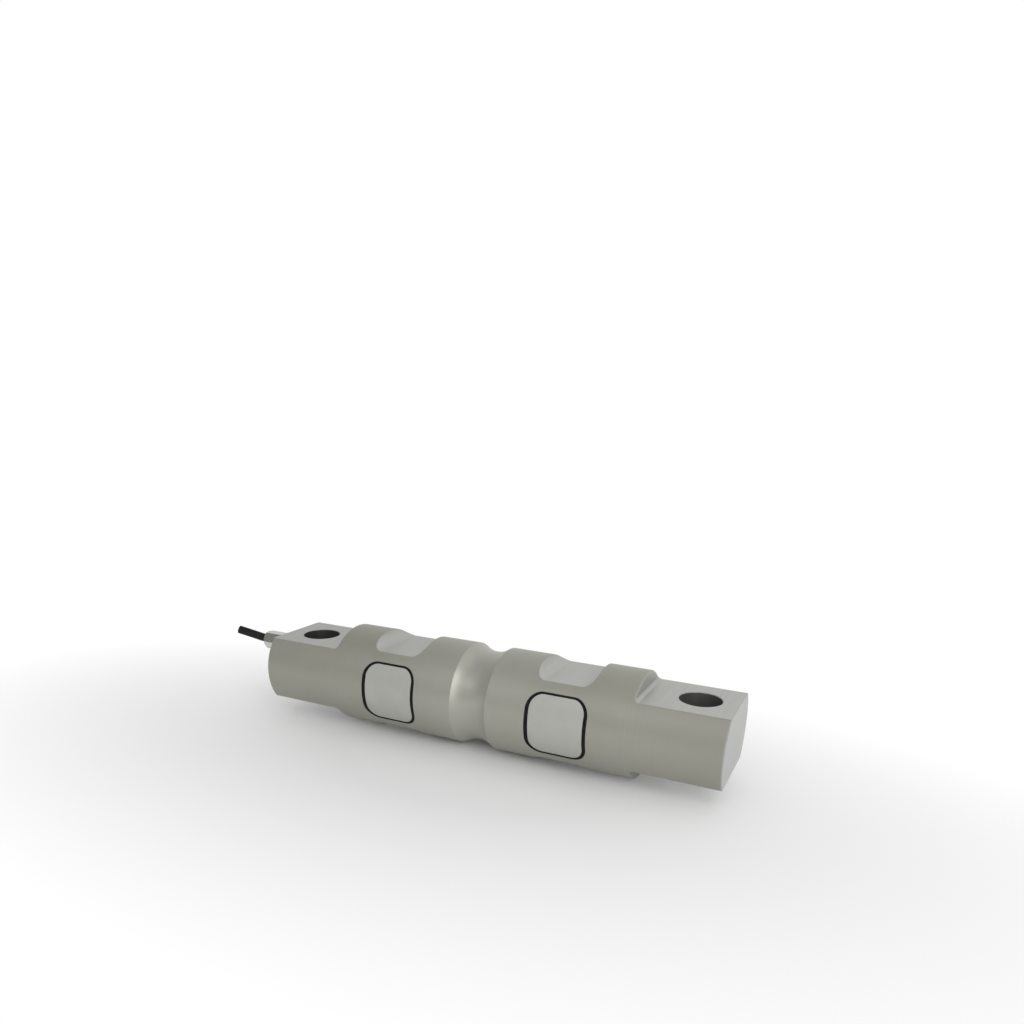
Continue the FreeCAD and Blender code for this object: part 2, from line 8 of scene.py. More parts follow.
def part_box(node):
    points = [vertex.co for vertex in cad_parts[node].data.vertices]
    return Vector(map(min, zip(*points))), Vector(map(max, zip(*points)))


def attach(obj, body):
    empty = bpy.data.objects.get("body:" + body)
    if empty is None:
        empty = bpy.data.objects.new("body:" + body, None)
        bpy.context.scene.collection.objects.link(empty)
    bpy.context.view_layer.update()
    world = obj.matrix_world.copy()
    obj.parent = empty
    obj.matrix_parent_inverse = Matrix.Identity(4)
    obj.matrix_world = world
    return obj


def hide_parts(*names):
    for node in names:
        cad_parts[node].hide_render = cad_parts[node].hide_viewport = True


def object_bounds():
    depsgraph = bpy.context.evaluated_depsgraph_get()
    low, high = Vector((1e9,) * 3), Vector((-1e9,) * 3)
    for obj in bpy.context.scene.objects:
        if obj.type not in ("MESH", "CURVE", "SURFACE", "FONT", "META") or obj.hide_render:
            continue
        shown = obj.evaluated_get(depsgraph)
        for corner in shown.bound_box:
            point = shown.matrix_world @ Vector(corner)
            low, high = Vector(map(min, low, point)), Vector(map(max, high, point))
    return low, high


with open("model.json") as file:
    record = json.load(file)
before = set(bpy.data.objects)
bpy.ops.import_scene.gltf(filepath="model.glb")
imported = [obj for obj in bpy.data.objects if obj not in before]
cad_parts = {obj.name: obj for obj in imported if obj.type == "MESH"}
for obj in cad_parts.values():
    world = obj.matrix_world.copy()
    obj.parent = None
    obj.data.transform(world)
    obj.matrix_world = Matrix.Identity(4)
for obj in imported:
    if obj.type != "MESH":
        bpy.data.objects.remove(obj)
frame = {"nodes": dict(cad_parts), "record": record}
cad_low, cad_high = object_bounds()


# The beam is one round steel bar, turned, milled and then plated a satin olive grey.
# The lathe left fine rings on the round skin and in the groove. The mill left straight passes on the
# flats and the saddles, which stay lighter. The groove is rubbed lighter and also carries a painted
# sheen, as does the skin beside it. The right plain end and the bolt holes are darkened with painted shade.

MM = 0.001
BAR_RADIUS = cad_high[2]
END_FACE_X = cad_high[0]
bolt_hole = next(mount for mount in frame["record"]["mounts"] if mount["name"] == "bolt_hole_right")
BOLT_X = bolt_hole["pos_m"][0]
BOLT_HOLE_RADIUS = bolt_hole["dims"]["r_mm"] * MM
GROOVE_HALF_WIDTH = 11.4 * MM
COLLAR_EDGE_X = 92.9 * MM
COLLAR_EDGE_REACH = 0.85 * MM
# An edge gives where a zone begins and where it is full.
SKIN_EDGE = (BAR_RADIUS - 0.5 * MM, BAR_RADIUS - 0.2 * MM)
GROOVE_EDGE = (GROOVE_HALF_WIDTH + 0.2 * MM, GROOVE_HALF_WIDTH)
END_FACE_EDGE = (END_FACE_X - 0.2 * MM, END_FACE_X - 0.1 * MM)
BORE_EDGE = (BOLT_HOLE_RADIUS + 0.15 * MM, BOLT_HOLE_RADIUS + 0.05 * MM)
COLLAR_WALL_SKIN = 0.6

TURNED_COLOUR = (0.342, 0.339, 0.296)
TURNED_STAIN_COLOUR = (0.320, 0.322, 0.272)
# Painted shade: the right plain end is darker.
PAINTED_SHADE_END_COLOUR = (0.300, 0.297, 0.255)
# Partly rubbed and partly painted sheen: the lighter colour of the groove and of the skin beside it.
RUB_AND_SHEEN_COLOUR = (0.430, 0.428, 0.385)
MILLED_COLOUR = (0.430, 0.433, 0.412)
SADDLE_COLOUR = (0.455, 0.458, 0.437)
FACED_COLOUR = (0.490, 0.492, 0.480)
# Painted shade: the bolt holes are darkened, the left one more.
BORE_SHADE_COLOUR = (0.100, 0.100, 0.097)
LEFT_BORE_SHADE_COLOUR = (0.050, 0.050, 0.047)
RUBBED_EDGE_COLOUR = (0.460, 0.460, 0.440)
TOOL_MARK_COLOUR = (0.170, 0.170, 0.150)
PLATING_METAL = 0.4

# A range gives the noise at which a stain, speck or mark begins and is full.
# Shares of the groove's rub and painted sheen, and of the painted sheen on the skin beside the groove.
GROOVE_RUB_AND_SHEEN_SHARE = 0.55
SIDE_SHEEN_SHARE = 0.35
SIDE_SHEEN_REACH = 60 * MM
STAIN_CLOUD = 18 * MM
STAIN_BAND = 3.5 * MM
STAIN_RANGE = (0.4, 0.6)
EDGE_RADIUS = 0.3 * MM
EDGE_SAMPLES = 4
EDGE_AGREEMENT = (0.995, 0.93)
EDGE_SPECK = 1.5 * MM
EDGE_SPECK_RANGE = (0.35, 0.6)
EDGE_RUB = (0.2, 0.8)
COLLAR_EDGE_RUB = 0.2

LATHE_FEED = 0.35 * MM
FACING_BAND = 1.3 * MM
CUTTER_PASS = 0.6 * MM
CUTTER_PASS_LENGTH = 33.3 * MM
CUTTER_DETAIL = 2.0
MARK_RANGE = (0.4, 0.7)
LATHE_MARK_SHADE = 0.16
FACING_MARK_SHADE = 0.16
CUTTER_MARK_SHADE = 0.08
SADDLE_MARK_SHADE = 0.03
MARK_BUMP = 0.5
SADDLE_MARK_BUMP = 0.2
MARK_DEPTH = 0.02 * MM
SATIN_ROUGHNESS = 0.42
GROOVE_ROUGHNESS = 0.33
SADDLE_ROUGHNESS = 0.5
MARK_ROUGHNESS = 0.08
NOISE_RANGE = (0.3, 0.7)
NOISE_DETAIL = 3.0


def blank_finish(name):
    """A new node material, with the tree, the shader and the place on the part, in metres."""
    material = bpy.data.materials.new(name)
    material.use_nodes = True
    tree = material.node_tree
    place = tree.nodes.new("ShaderNodeTexCoord").outputs["Object"]
    return material, tree, tree.nodes["Principled BSDF"], place


def feed(tree, node, inputs):
    """Sets a node's inputs, or links them to other nodes."""
    for socket, value in inputs.items():
        if isinstance(value, bpy.types.NodeSocket):
            tree.links.new(value, node.inputs[socket])
        else:
            node.inputs[socket].default_value = value


def add(tree, kind, inputs, output=0, **settings):
    """Adds a node with its settings and inputs, and gives back one output."""
    made = tree.nodes.new("ShaderNode" + kind)
    for name, value in settings.items():
        setattr(made, name, value)
    feed(tree, made, inputs)
    return made.outputs[output]


def ramp(tree, value, low, high, to_low=0.0, to_high=1.0):
    """Maps low..high to to_low..to_high, held level outside."""
    limits = {"Value": value, "From Min": low, "From Max": high, "To Min": to_low, "To Max": to_high}
    return add(tree, "MapRange", limits)


def between(tree, share, first, second):
    """Goes from the first number to the second by a share."""
    return ramp(tree, share, 0.0, 1.0, first, second)


def blend(tree, share, first, second):
    """Mixes two colours by a share."""
    inputs = {"Factor": share, "A": first, "B": second}
    made = tree.nodes.new("ShaderNodeMix")
    made.data_type = "RGBA"
    for socket in made.inputs:
        if socket.enabled and socket.name in inputs:
            value = inputs[socket.name]
            if isinstance(value, bpy.types.NodeSocket):
                tree.links.new(value, socket)
            else:
                socket.default_value = (*value, 1.0) if isinstance(value, tuple) else value
    return next(socket for socket in made.outputs if socket.enabled)


def arithmetic(tree, operation, first, second=0.0):
    return add(tree, "Math", {0: first, 1: second}, operation=operation)


def average(tree, first, second):
    return arithmetic(tree, "MULTIPLY", arithmetic(tree, "ADD", first, second), 0.5)


def axes(tree, place):
    """The place's X, Y and Z."""
    made = tree.nodes.new("ShaderNodeSeparateXYZ")
    tree.links.new(place, made.inputs[0])
    return made.outputs


def length(tree, vector):
    return add(tree, "VectorMath", {0: vector}, output="Value", operation="LENGTH")


def mottle(tree, place, grain, detail=NOISE_DETAIL):
    """Soft cloudy noise, with lumps of about the given grain in metres."""
    return add(tree, "TexNoise", {"Vector": place, "Scale": 1 / grain, "Detail": detail})


def scratches(tree, along, pitch):
    """Random lines, a pitch apart, across the direction that the value runs in."""
    return add(tree, "TexNoise", {"W": arithmetic(tree, "DIVIDE", along, pitch)}, noise_dimensions="1D")


def rounded_edge(tree, radius):
    """The normal of a face whose edges are broken to a small radius."""
    return add(tree, "Bevel", {"Radius": radius}, samples=EDGE_SAMPLES)


def near_edge(tree, rounded):
    """1 on a broken edge and 0 on open faces, by how far the rounded normal leaves the face's own."""
    face = tree.nodes.new("ShaderNodeNewGeometry").outputs["Normal"]
    agreement = add(tree, "VectorMath", {0: rounded, 1: face}, output="Value", operation="DOT_PRODUCT")
    return ramp(tree, agreement, *EDGE_AGREEMENT)


def dress(material, *nodes):
    """Gives CAD nodes a new material."""
    for node in nodes:
        materials = frame["nodes"][node].data.materials
        materials.clear()
        materials.append(material)


def machined_zones(tree, from_middle, from_axis, y):
    """For each machined zone of the bar, a share that is 1 in it and 0 outside."""
    in_groove = ramp(tree, from_middle, *GROOVE_EDGE)
    collar_limits = {0: from_middle, 1: COLLAR_EDGE_X, 2: COLLAR_EDGE_REACH}
    on_collar_edge = add(tree, "Math", collar_limits, operation="COMPARE")
    collar_wall = arithmetic(tree, "MULTIPLY", on_collar_edge, COLLAR_WALL_SKIN)
    skin_or_groove = arithmetic(tree, "MAXIMUM", ramp(tree, from_axis, *SKIN_EDGE), in_groove)
    turned = arithmetic(tree, "MAXIMUM", skin_or_groove, collar_wall)
    within_collars = arithmetic(tree, "LESS_THAN", from_middle, COLLAR_EDGE_X - COLLAR_EDGE_REACH)
    from_bolt = add(tree, "CombineXYZ", {"X": arithmetic(tree, "SUBTRACT", from_middle, BOLT_X), "Y": y})
    return {
        "turned": turned,
        "groove": in_groove,
        "collar edge": on_collar_edge,
        "saddle": arithmetic(tree, "MULTIPLY", within_collars, ramp(tree, turned, 1.0, 0.0)),
        "end face": ramp(tree, from_middle, *END_FACE_EDGE),
        "bore": ramp(tree, length(tree, from_bolt), *BORE_EDGE),
    }


def tool_marks(tree, place, x, from_axis, zones):
    """Rings where the lathe cut, on the skin and the end faces, and straight passes where the mill did."""
    lathe_rings = scratches(tree, x, LATHE_FEED)
    facing_feed = scratches(tree, from_axis, LATHE_FEED)
    facing_rings = average(tree, facing_feed, scratches(tree, from_axis, FACING_BAND))
    pass_scale = (1 / CUTTER_PASS, 1 / CUTTER_PASS_LENGTH, 1 / CUTTER_PASS_LENGTH)
    pass_place = add(tree, "VectorMath", {0: place, 1: pass_scale}, operation="MULTIPLY")
    cutter_passes = mottle(tree, pass_place, 1.0, CUTTER_DETAIL)
    flat_marks = blend(tree, zones["end face"], cutter_passes, facing_rings)
    return blend(tree, zones["turned"], flat_marks, lathe_rings)


def skin_colour(tree, place, x, from_middle, zones):
    """Turned skin stained in clouds and bands; painted shade at the right end; groove rubbed, painted sheen
    in and beside it.
    """
    stain = average(tree, mottle(tree, place, STAIN_CLOUD), scratches(tree, x, STAIN_BAND))
    skin = blend(tree, ramp(tree, stain, *STAIN_RANGE), TURNED_STAIN_COLOUR, TURNED_COLOUR)
    # Painted shade darkens the right plain end.
    skin = blend(tree, ramp(tree, x, COLLAR_EDGE_X, END_FACE_X), skin, PAINTED_SHADE_END_COLOUR)
    # The groove is rubbed lighter and also carries a painted sheen; the skin beside it has a painted sheen
    # that fades out.
    groove_rub_and_sheen = arithmetic(tree, "MULTIPLY", zones["groove"], GROOVE_RUB_AND_SHEEN_SHARE)
    side_sheen = ramp(tree, from_middle, GROOVE_HALF_WIDTH, SIDE_SHEEN_REACH, SIDE_SHEEN_SHARE, 0.0)
    return blend(tree, arithmetic(tree, "MAXIMUM", groove_rub_and_sheen, side_sheen), skin, RUB_AND_SHEEN_COLOUR)


def milled_colour(tree, x, zones):
    """The lighter flats, saddles and end faces, and bolt holes darkened with painted shade, the left one
    more.
    """
    milled = blend(tree, zones["end face"], MILLED_COLOUR, FACED_COLOUR)
    milled = blend(tree, zones["saddle"], milled, SADDLE_COLOUR)
    # Painted shade in the bolt holes, deeper in the left one.
    bore = blend(tree, ramp(tree, x, -BOLT_X, BOLT_X), LEFT_BORE_SHADE_COLOUR, BORE_SHADE_COLOUR)
    return blend(tree, zones["bore"], milled, bore)


def plated_steel():
    material, tree, shader, place = blank_finish("plated_steel")
    x, y, z = axes(tree, place)
    from_middle = arithmetic(tree, "ABSOLUTE", x)
    from_axis = length(tree, add(tree, "CombineXYZ", {"Y": y, "Z": z}))
    zones = machined_zones(tree, from_middle, from_axis, y)
    marks = tool_marks(tree, place, x, from_axis, zones)

    skin = skin_colour(tree, place, x, from_middle, zones)
    colour = blend(tree, zones["turned"], milled_colour(tree, x, zones), skin)
    flat_shade = between(tree, zones["end face"], CUTTER_MARK_SHADE, FACING_MARK_SHADE)
    flat_shade = between(tree, zones["saddle"], flat_shade, SADDLE_MARK_SHADE)
    mark_shade = between(tree, zones["turned"], flat_shade, LATHE_MARK_SHADE)
    colour = blend(tree, ramp(tree, marks, *MARK_RANGE, 0.0, mark_shade), colour, TOOL_MARK_COLOUR)
    rounded = rounded_edge(tree, EDGE_RADIUS)
    specks = ramp(tree, mottle(tree, place, EDGE_SPECK), *EDGE_SPECK_RANGE, *EDGE_RUB)
    edge_rub = arithmetic(tree, "MULTIPLY", near_edge(tree, rounded), specks)
    collar_rub = between(tree, zones["collar edge"], 1.0, COLLAR_EDGE_RUB)
    edge_rub = arithmetic(tree, "MULTIPLY", edge_rub, collar_rub)

    satin = between(tree, zones["groove"], SATIN_ROUGHNESS, GROOVE_ROUGHNESS)
    satin = between(tree, zones["saddle"], satin, SADDLE_ROUGHNESS)
    mark_roughness = ramp(tree, marks, *NOISE_RANGE, 0.0, MARK_ROUGHNESS)
    mark_bump = between(tree, zones["saddle"], MARK_BUMP, SADDLE_MARK_BUMP)
    relief = {"Strength": mark_bump, "Distance": MARK_DEPTH, "Height": marks, "Normal": rounded}
    feed(tree, shader, {
        "Base Color": blend(tree, edge_rub, colour, RUBBED_EDGE_COLOUR),
        "Metallic": PLATING_METAL,
        "Roughness": arithmetic(tree, "ADD", satin, mark_roughness),
        "Normal": add(tree, "Bump", relief),
    })
    return material


dress(plated_steel(), "beam")


# Foil gauges are a thin amber film with etched metal grids, glued to the webs inside the pockets.
# The film is slightly cloudy with cured adhesive.

FILM_COLOUR = (0.55, 0.30, 0.07)
FILM_THICK_COLOUR = (0.42, 0.20, 0.04)
FILM_CLOUD = 2 * MM
FILM_ROUGHNESS = 0.35
GRID_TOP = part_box("strain_gauge_rear_right")[1].y
GRID_EDGE = (GRID_TOP - 0.09 * MM, GRID_TOP - 0.06 * MM)
GRID_COLOUR = (0.52, 0.45, 0.36)


def gauge_film():
    material, tree, shader, place = blank_finish("gauge_film")
    from_centre = arithmetic(tree, "ABSOLUTE", axes(tree, place)["Y"])
    grid = ramp(tree, from_centre, *GRID_EDGE)
    film = blend(tree, mottle(tree, place, FILM_CLOUD), FILM_COLOUR, FILM_THICK_COLOUR)
    feed(tree, shader, {
        "Base Color": blend(tree, grid, film, GRID_COLOUR),
        "Metallic": grid,
        "Roughness": FILM_ROUGHNESS,
    })
    return material


pockets = [f"{side}_{end}" for side in ("front", "rear") for end in ("left", "right")]
dress(gauge_film(), *[f"strain_gauge_{pocket}" for pocket in pockets])


# Solder strips are green laminate with tinned pads, glued beside the gauges.
# The pads stand a little proud and are rough with solder.

LAMINATE_COLOUR = (0.06, 0.20, 0.08)
LAMINATE_FIBRE_COLOUR = (0.09, 0.26, 0.11)
LAMINATE_FIBRE = 0.6 * MM
LAMINATE_ROUGHNESS = (0.35, 0.5)
TINNED_COLOUR = (0.62, 0.62, 0.60)
PAD_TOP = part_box("solder_terminal_rear_right")[1].y
PAD_FOOT = PAD_TOP - 0.18 * MM
PAD_BLUR = 0.03 * MM


def laminate(name, pad_foot):
    """Green laminate. What stands farther out from the bar's middle plane than the pads' foot is tinned."""
    material, tree, shader, place = blank_finish(name)
    from_centre = arithmetic(tree, "ABSOLUTE", axes(tree, place)["Y"])
    tinned = ramp(tree, from_centre, pad_foot, pad_foot + PAD_BLUR)
    fibre = mottle(tree, place, LAMINATE_FIBRE)
    green = blend(tree, fibre, LAMINATE_COLOUR, LAMINATE_FIBRE_COLOUR)
    feed(tree, shader, {
        "Base Color": blend(tree, tinned, green, TINNED_COLOUR),
        "Metallic": tinned,
        "Roughness": ramp(tree, fibre, *NOISE_RANGE, *LAMINATE_ROUGHNESS),
    })
    return material


dress(laminate("terminal_laminate", PAD_FOOT), *[f"solder_terminal_{pocket}" for pocket in pockets])


# The compensation board stands on four nylon posts over the rear left gauge and has no bare pads.
# Its chip resistors are black ceramic, soldered flat on the board.

NO_PADS = 2 * BAR_RADIUS
CERAMIC_COLOUR = (0.020, 0.020, 0.022)
CERAMIC_DUST_COLOUR = (0.040, 0.040, 0.042)
CERAMIC_GRAIN = 0.5 * MM
CERAMIC_ROUGHNESS = 0.5
NYLON_COLOUR = (0.72, 0.70, 0.62)
NYLON_SHADE_COLOUR = (0.62, 0.60, 0.52)
NYLON_CLOUD = 1 * MM
NYLON_ROUGHNESS = 0.45
ROUGHNESS_SPREAD = 0.15


def clouded(name, colour, other, grain, roughness, metallic=0.0):
    """A plain finish with cloudy colour and roughness."""
    material, tree, shader, place = blank_finish(name)
    clouds = mottle(tree, place, grain)
    smoothest = roughness * (1 - ROUGHNESS_SPREAD)
    roughest = roughness * (1 + ROUGHNESS_SPREAD)
    feed(tree, shader, {
        "Base Color": blend(tree, ramp(tree, clouds, *NOISE_RANGE), colour, other),
        "Metallic": metallic,
        "Roughness": ramp(tree, clouds, *NOISE_RANGE, smoothest, roughest),
    })
    return material


dress(laminate("board_laminate", NO_PADS), "trim_board")
dress(
    clouded("resistor_body", CERAMIC_COLOUR, CERAMIC_DUST_COLOUR, CERAMIC_GRAIN, CERAMIC_ROUGHNESS),
    "trim_resistors",
)
dress(
    clouded("standoff_nylon", NYLON_COLOUR, NYLON_SHADE_COLOUR, NYLON_CLOUD, NYLON_ROUGHNESS),
    "board_standoffs",
)


# The leads inside are insulated bundles through the webs and under the groove, and bare tinned wires
# up to the board. Each is soldered at both ends.

LEAD_COLOUR = (0.80, 0.78, 0.72)
LEAD_SHADE_COLOUR = (0.70, 0.67, 0.60)
LEAD_CLOUD = 1 * MM
LEAD_ROUGHNESS = 0.4
WIRE_COLOUR = (0.60, 0.58, 0.55)
WIRE_SHADE_COLOUR = (0.50, 0.48, 0.45)
WIRE_CLOUD = 0.4 * MM
WIRE_ROUGHNESS = 0.3

dress(
    clouded("lead_insulation", LEAD_COLOUR, LEAD_SHADE_COLOUR, LEAD_CLOUD, LEAD_ROUGHNESS),
    "web_lead_left",
    "web_lead_right",
    "cross_lead",
)
dress(
    clouded("lead_wire", WIRE_COLOUR, WIRE_SHADE_COLOUR, WIRE_CLOUD, WIRE_ROUGHNESS, metallic=1.0),
    "board_leads",
)


# The closing plates are steel rolled to the bar's curve and laid on a ledge in each pocket.
# They are bead blasted, so they are paler and flatter in tone than the bar.

PLATE_COLOUR = (0.460, 0.462, 0.432)
PLATE_STAIN_COLOUR = (0.441, 0.443, 0.413)
PLATE_STAIN_CLOUD = 9 * MM
PLATE_STAIN_RANGE = (0.35, 0.7)
PLATE_METAL = 0.4
PLATE_ROUGHNESS = (0.56, 0.50)
PLATE_EDGE_RADIUS = 0.15 * MM
BLAST_PIT_COLOUR = (0.220, 0.220, 0.205)
BLAST_PIT_RANGE = (0.55, 0.35)
BLAST_PIT_SHADE = 0.12
BLAST_GRAIN = 0.3 * MM
BLAST_DETAIL = 2.0
BLAST_BUMP = 0.4
BLAST_DEPTH = 0.03 * MM


def blasted_plate():
    material, tree, shader, place = blank_finish("cover_steel")
    clouds = mottle(tree, place, PLATE_STAIN_CLOUD)
    grain = mottle(tree, place, BLAST_GRAIN, BLAST_DETAIL)
    colour = blend(tree, ramp(tree, clouds, *PLATE_STAIN_RANGE), PLATE_STAIN_COLOUR, PLATE_COLOUR)
    pits = ramp(tree, grain, *BLAST_PIT_RANGE, 0.0, BLAST_PIT_SHADE)
    rounded = rounded_edge(tree, PLATE_EDGE_RADIUS)
    relief = {"Strength": BLAST_BUMP, "Distance": BLAST_DEPTH, "Height": grain, "Normal": rounded}
    feed(tree, shader, {
        "Base Color": blend(tree, pits, colour, BLAST_PIT_COLOUR),
        "Metallic": PLATE_METAL,
        "Roughness": ramp(tree, clouds, *NOISE_RANGE, *PLATE_ROUGHNESS),
        "Normal": add(tree, "Bump", relief),
    })
    return material


dress(blasted_plate(), *[f"pocket_cover_{pocket}" for pocket in pockets])


# A bead of black sealant is run by hand round each closing plate, and fills the gap to the pocket wall.
# It dips a little in the middle, and its edges creep unevenly over the plate and the bar.

plate_low, plate_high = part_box("pocket_cover_front_right")
seal_low, seal_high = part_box("cover_seal_front_right")
GAUGE_STATION = (plate_low.x + plate_high.x) / 2
PLATE_LENGTH = plate_high.x - plate_low.x
PLATE_HEIGHT = plate_high.z - plate_low.z
PLATE_CORNER = 7.4 * MM
PLATE_RADIUS = BAR_RADIUS - 0.3 * MM
SEAL_CLEARANCE = 0.05 * MM
POCKET_LENGTH = seal_high.x - seal_low.x + 2 * SEAL_CLEARANCE
POCKET_HEIGHT = seal_high.z - seal_low.z + 2 * SEAL_CLEARANCE
POCKET_CORNER = 9 * MM
BEAD_FOOT_RADIUS = BAR_RADIUS - 2.4 * MM
BEAD_DIP = 0.12 * MM
BEAD_FILM = 0.03 * MM
BEAD_STEPS_ALONG = 28
BEAD_STEPS_ROUND = 10
BEAD_STEPS_ACROSS = 8
BEAD_CREASE = math.radians(50)

CREEP = 0.08 * MM
CREEP_MEAN = 0.5
CREEP_SWING = 0.9
CREEP_WAVE = 2.5 * MM
CREEP_ON_BAR = 0.6
BAR_SEED = 1.5
PLATE_SEED = 5.5
END_SEED = 3
SIDE_SEED = 7

SEALANT_COLOUR = (0.0075, 0.0072, 0.0062)
SEALANT_DUST_COLOUR = (0.0140, 0.0135, 0.0120)
SEALANT_DUST_PATCH = 5 * MM
SEALANT_DUST_RANGE = (0.45, 0.75)
SEALANT_ROUGHNESS = (0.5, 0.65)
SEALANT_SPECULAR = 0.11
SEALANT_GRAIN = 0.8 * MM
SEALANT_GRAIN_DEPTH = 0.05 * MM
SEALANT_BUMP = 0.5


def rounded_loop(loop_length, height, corner):
    """Points and outward directions round a rounded rectangle, as many for every size."""
    points = []
    for turn in range(4):
        along = Vector((math.cos(turn * math.pi / 2), math.sin(turn * math.pi / 2)))
        out = Vector((along.y, -along.x))
        size_along, size_out = (loop_length, height) if turn % 2 == 0 else (height, loop_length)
        run = size_along / 2 - corner
        for step in range(BEAD_STEPS_ALONG):
            share = 2 * step / BEAD_STEPS_ALONG - 1
            points.append((along * (run * share) + out * (size_out / 2), out))
        middle = along * run + out * (size_out / 2 - corner)
        for step in range(BEAD_STEPS_ROUND):
            angle = step / BEAD_STEPS_ROUND * math.pi / 2
            direction = out * math.cos(angle) + along * math.sin(angle)
            points.append((middle + direction * corner, direction))
    return points


def smooth_piece(name, vertices, faces, crease):
    """A new piece, shaded smooth but for its creases."""
    mesh = bpy.data.meshes.new(name)
    mesh.from_pydata(vertices, [], faces)
    mesh.shade_smooth()
    mesh.set_sharp_from_angle(angle=crease)
    piece = bpy.data.objects.new(name, mesh)
    bpy.context.scene.collection.objects.link(piece)
    return piece


def sealant_bead(pocket, side, end):
    """Rings of points across the bead, one for each point round the pocket wall and the plate."""
    wall = rounded_loop(POCKET_LENGTH, POCKET_HEIGHT, POCKET_CORNER)
    plate = rounded_loop(PLATE_LENGTH, PLATE_HEIGHT, PLATE_CORNER)

    def on_bar(flat, radius):
        y = side * math.sqrt(radius**2 - flat.y**2)
        return Vector((end * GAUGE_STATION + flat.x, y, flat.y))

    def creep(flat, seed):
        pocket_seed = seed + END_SEED * end + SIDE_SEED * side
        spot = Vector((flat.x / CREEP_WAVE, flat.y / CREEP_WAVE, pocket_seed))
        return CREEP * (CREEP_MEAN + CREEP_SWING * noise.noise(spot))

    vertices = []
    for (wall_point, wall_out), (plate_point, plate_out) in zip(wall, plate):
        outer = wall_point + wall_out * max(0.0, creep(wall_point, BAR_SEED) * CREEP_ON_BAR)
        inner = plate_point - plate_out * creep(plate_point, PLATE_SEED)
        for step in range(BEAD_STEPS_ACROSS + 1):
            share = step / BEAD_STEPS_ACROSS
            level = PLATE_RADIUS + (BAR_RADIUS - PLATE_RADIUS) * share + BEAD_FILM
            dip = BEAD_DIP * 4 * share * (1 - share)
            vertices.append(on_bar(inner.lerp(outer, share), level - dip))
        vertices.append(on_bar(wall_point, BEAD_FOOT_RADIUS))
        vertices.append(on_bar(plate_point, BEAD_FOOT_RADIUS))
    around = len(wall)
    across = len(vertices) // around
    faces = []
    for ring in range(around):
        for step in range(across):
            a = ring * across + step
            b = ring * across + (step + 1) % across
            c = (ring + 1) % around * across + (step + 1) % across
            d = (ring + 1) % around * across + step
            faces.append((d, c, b, a) if side > 0 else (a, b, c, d))
    return smooth_piece(f"sealant_bead_{pocket}", vertices, faces, BEAD_CREASE)


def black_sealant():
    material, tree, shader, place = blank_finish("sealant")
    grain = mottle(tree, place, SEALANT_GRAIN)
    dust = mottle(tree, place, SEALANT_DUST_PATCH)
    dusty = ramp(tree, dust, *SEALANT_DUST_RANGE)
    relief = {"Strength": SEALANT_BUMP, "Distance": SEALANT_GRAIN_DEPTH, "Height": grain}
    feed(tree, shader, {
        "Base Color": blend(tree, dusty, SEALANT_COLOUR, SEALANT_DUST_COLOUR),
        "Roughness": ramp(tree, dust, *NOISE_RANGE, *SEALANT_ROUGHNESS),
        "Specular IOR Level": SEALANT_SPECULAR,
        "Normal": add(tree, "Bump", relief),
    })
    return material


sealant = black_sealant()
for side_name, side in (("front", -1), ("rear", 1)):
    for end_name, end in (("left", -1), ("right", 1)):
        bead = sealant_bead(f"{side_name}_{end_name}", side, end)
        bead.data.materials.append(sealant)
        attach(bead, "root")
        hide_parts(f"cover_seal_{side_name}_{end_name}")


# The cable gland is turned from hexagon brass bar and bright nickel plated.
# Its body screws into the left end face, and its domed nut squeezes a rubber sleeve onto the cable.

NICKEL_COLOUR = (0.66, 0.655, 0.62)
NICKEL_TARNISH_COLOUR = (0.55, 0.54, 0.49)
NICKEL_TARNISH_PATCH = 2.5 * MM
NICKEL_TARNISH_RANGE = (0.4, 0.75)
NICKEL_ROUGHNESS = (0.16, 0.28)
NICKEL_EDGE_RADIUS = 0.25 * MM
RUBBER_COLOUR = (0.014, 0.014, 0.014)
RUBBER_BLOOM_COLOUR = (0.030, 0.030, 0.030)
RUBBER_CLOUD = 1 * MM
RUBBER_ROUGHNESS = 0.6


def bright_nickel():
    material, tree, shader, place = blank_finish("gland_metal")
    tarnish = mottle(tree, place, NICKEL_TARNISH_PATCH)
    tarnished = ramp(tree, tarnish, *NICKEL_TARNISH_RANGE)
    feed(tree, shader, {
        "Base Color": blend(tree, tarnished, NICKEL_COLOUR, NICKEL_TARNISH_COLOUR),
        "Metallic": 1.0,
        "Roughness": ramp(tree, tarnish, *NOISE_RANGE, *NICKEL_ROUGHNESS),
        "Normal": rounded_edge(tree, NICKEL_EDGE_RADIUS),
    })
    return material


dress(bright_nickel(), "gland_body", "gland_nut")
dress(
    clouded("gland_rubber", RUBBER_COLOUR, RUBBER_BLOOM_COLOUR, RUBBER_CLOUD, RUBBER_ROUGHNESS),
    "gland_seal",
    "gland_gasket",
)


# The cable has a black plastic jacket over a braided screen and four coloured cores.
# It comes straight out of the gland, bends slightly up and to the front, and is cut off square.

CABLE_ROUTE = (
    (-0.1667, 0.01595, 0.0041),
    (-0.1835, 0.01595, 0.0041),
    (-0.1937, 0.01425, 0.0064),
    (-0.2032, 0.01095, 0.0091),
)
CABLE_DIAMETER = 5.5 * MM
CABLE_STEPS = 16
JACKET_BORE = 3.6 * MM
JACKET_SIDES = 48
JACKET_CREASE = math.radians(40)
CUT_ROUND = 0.12 * MM

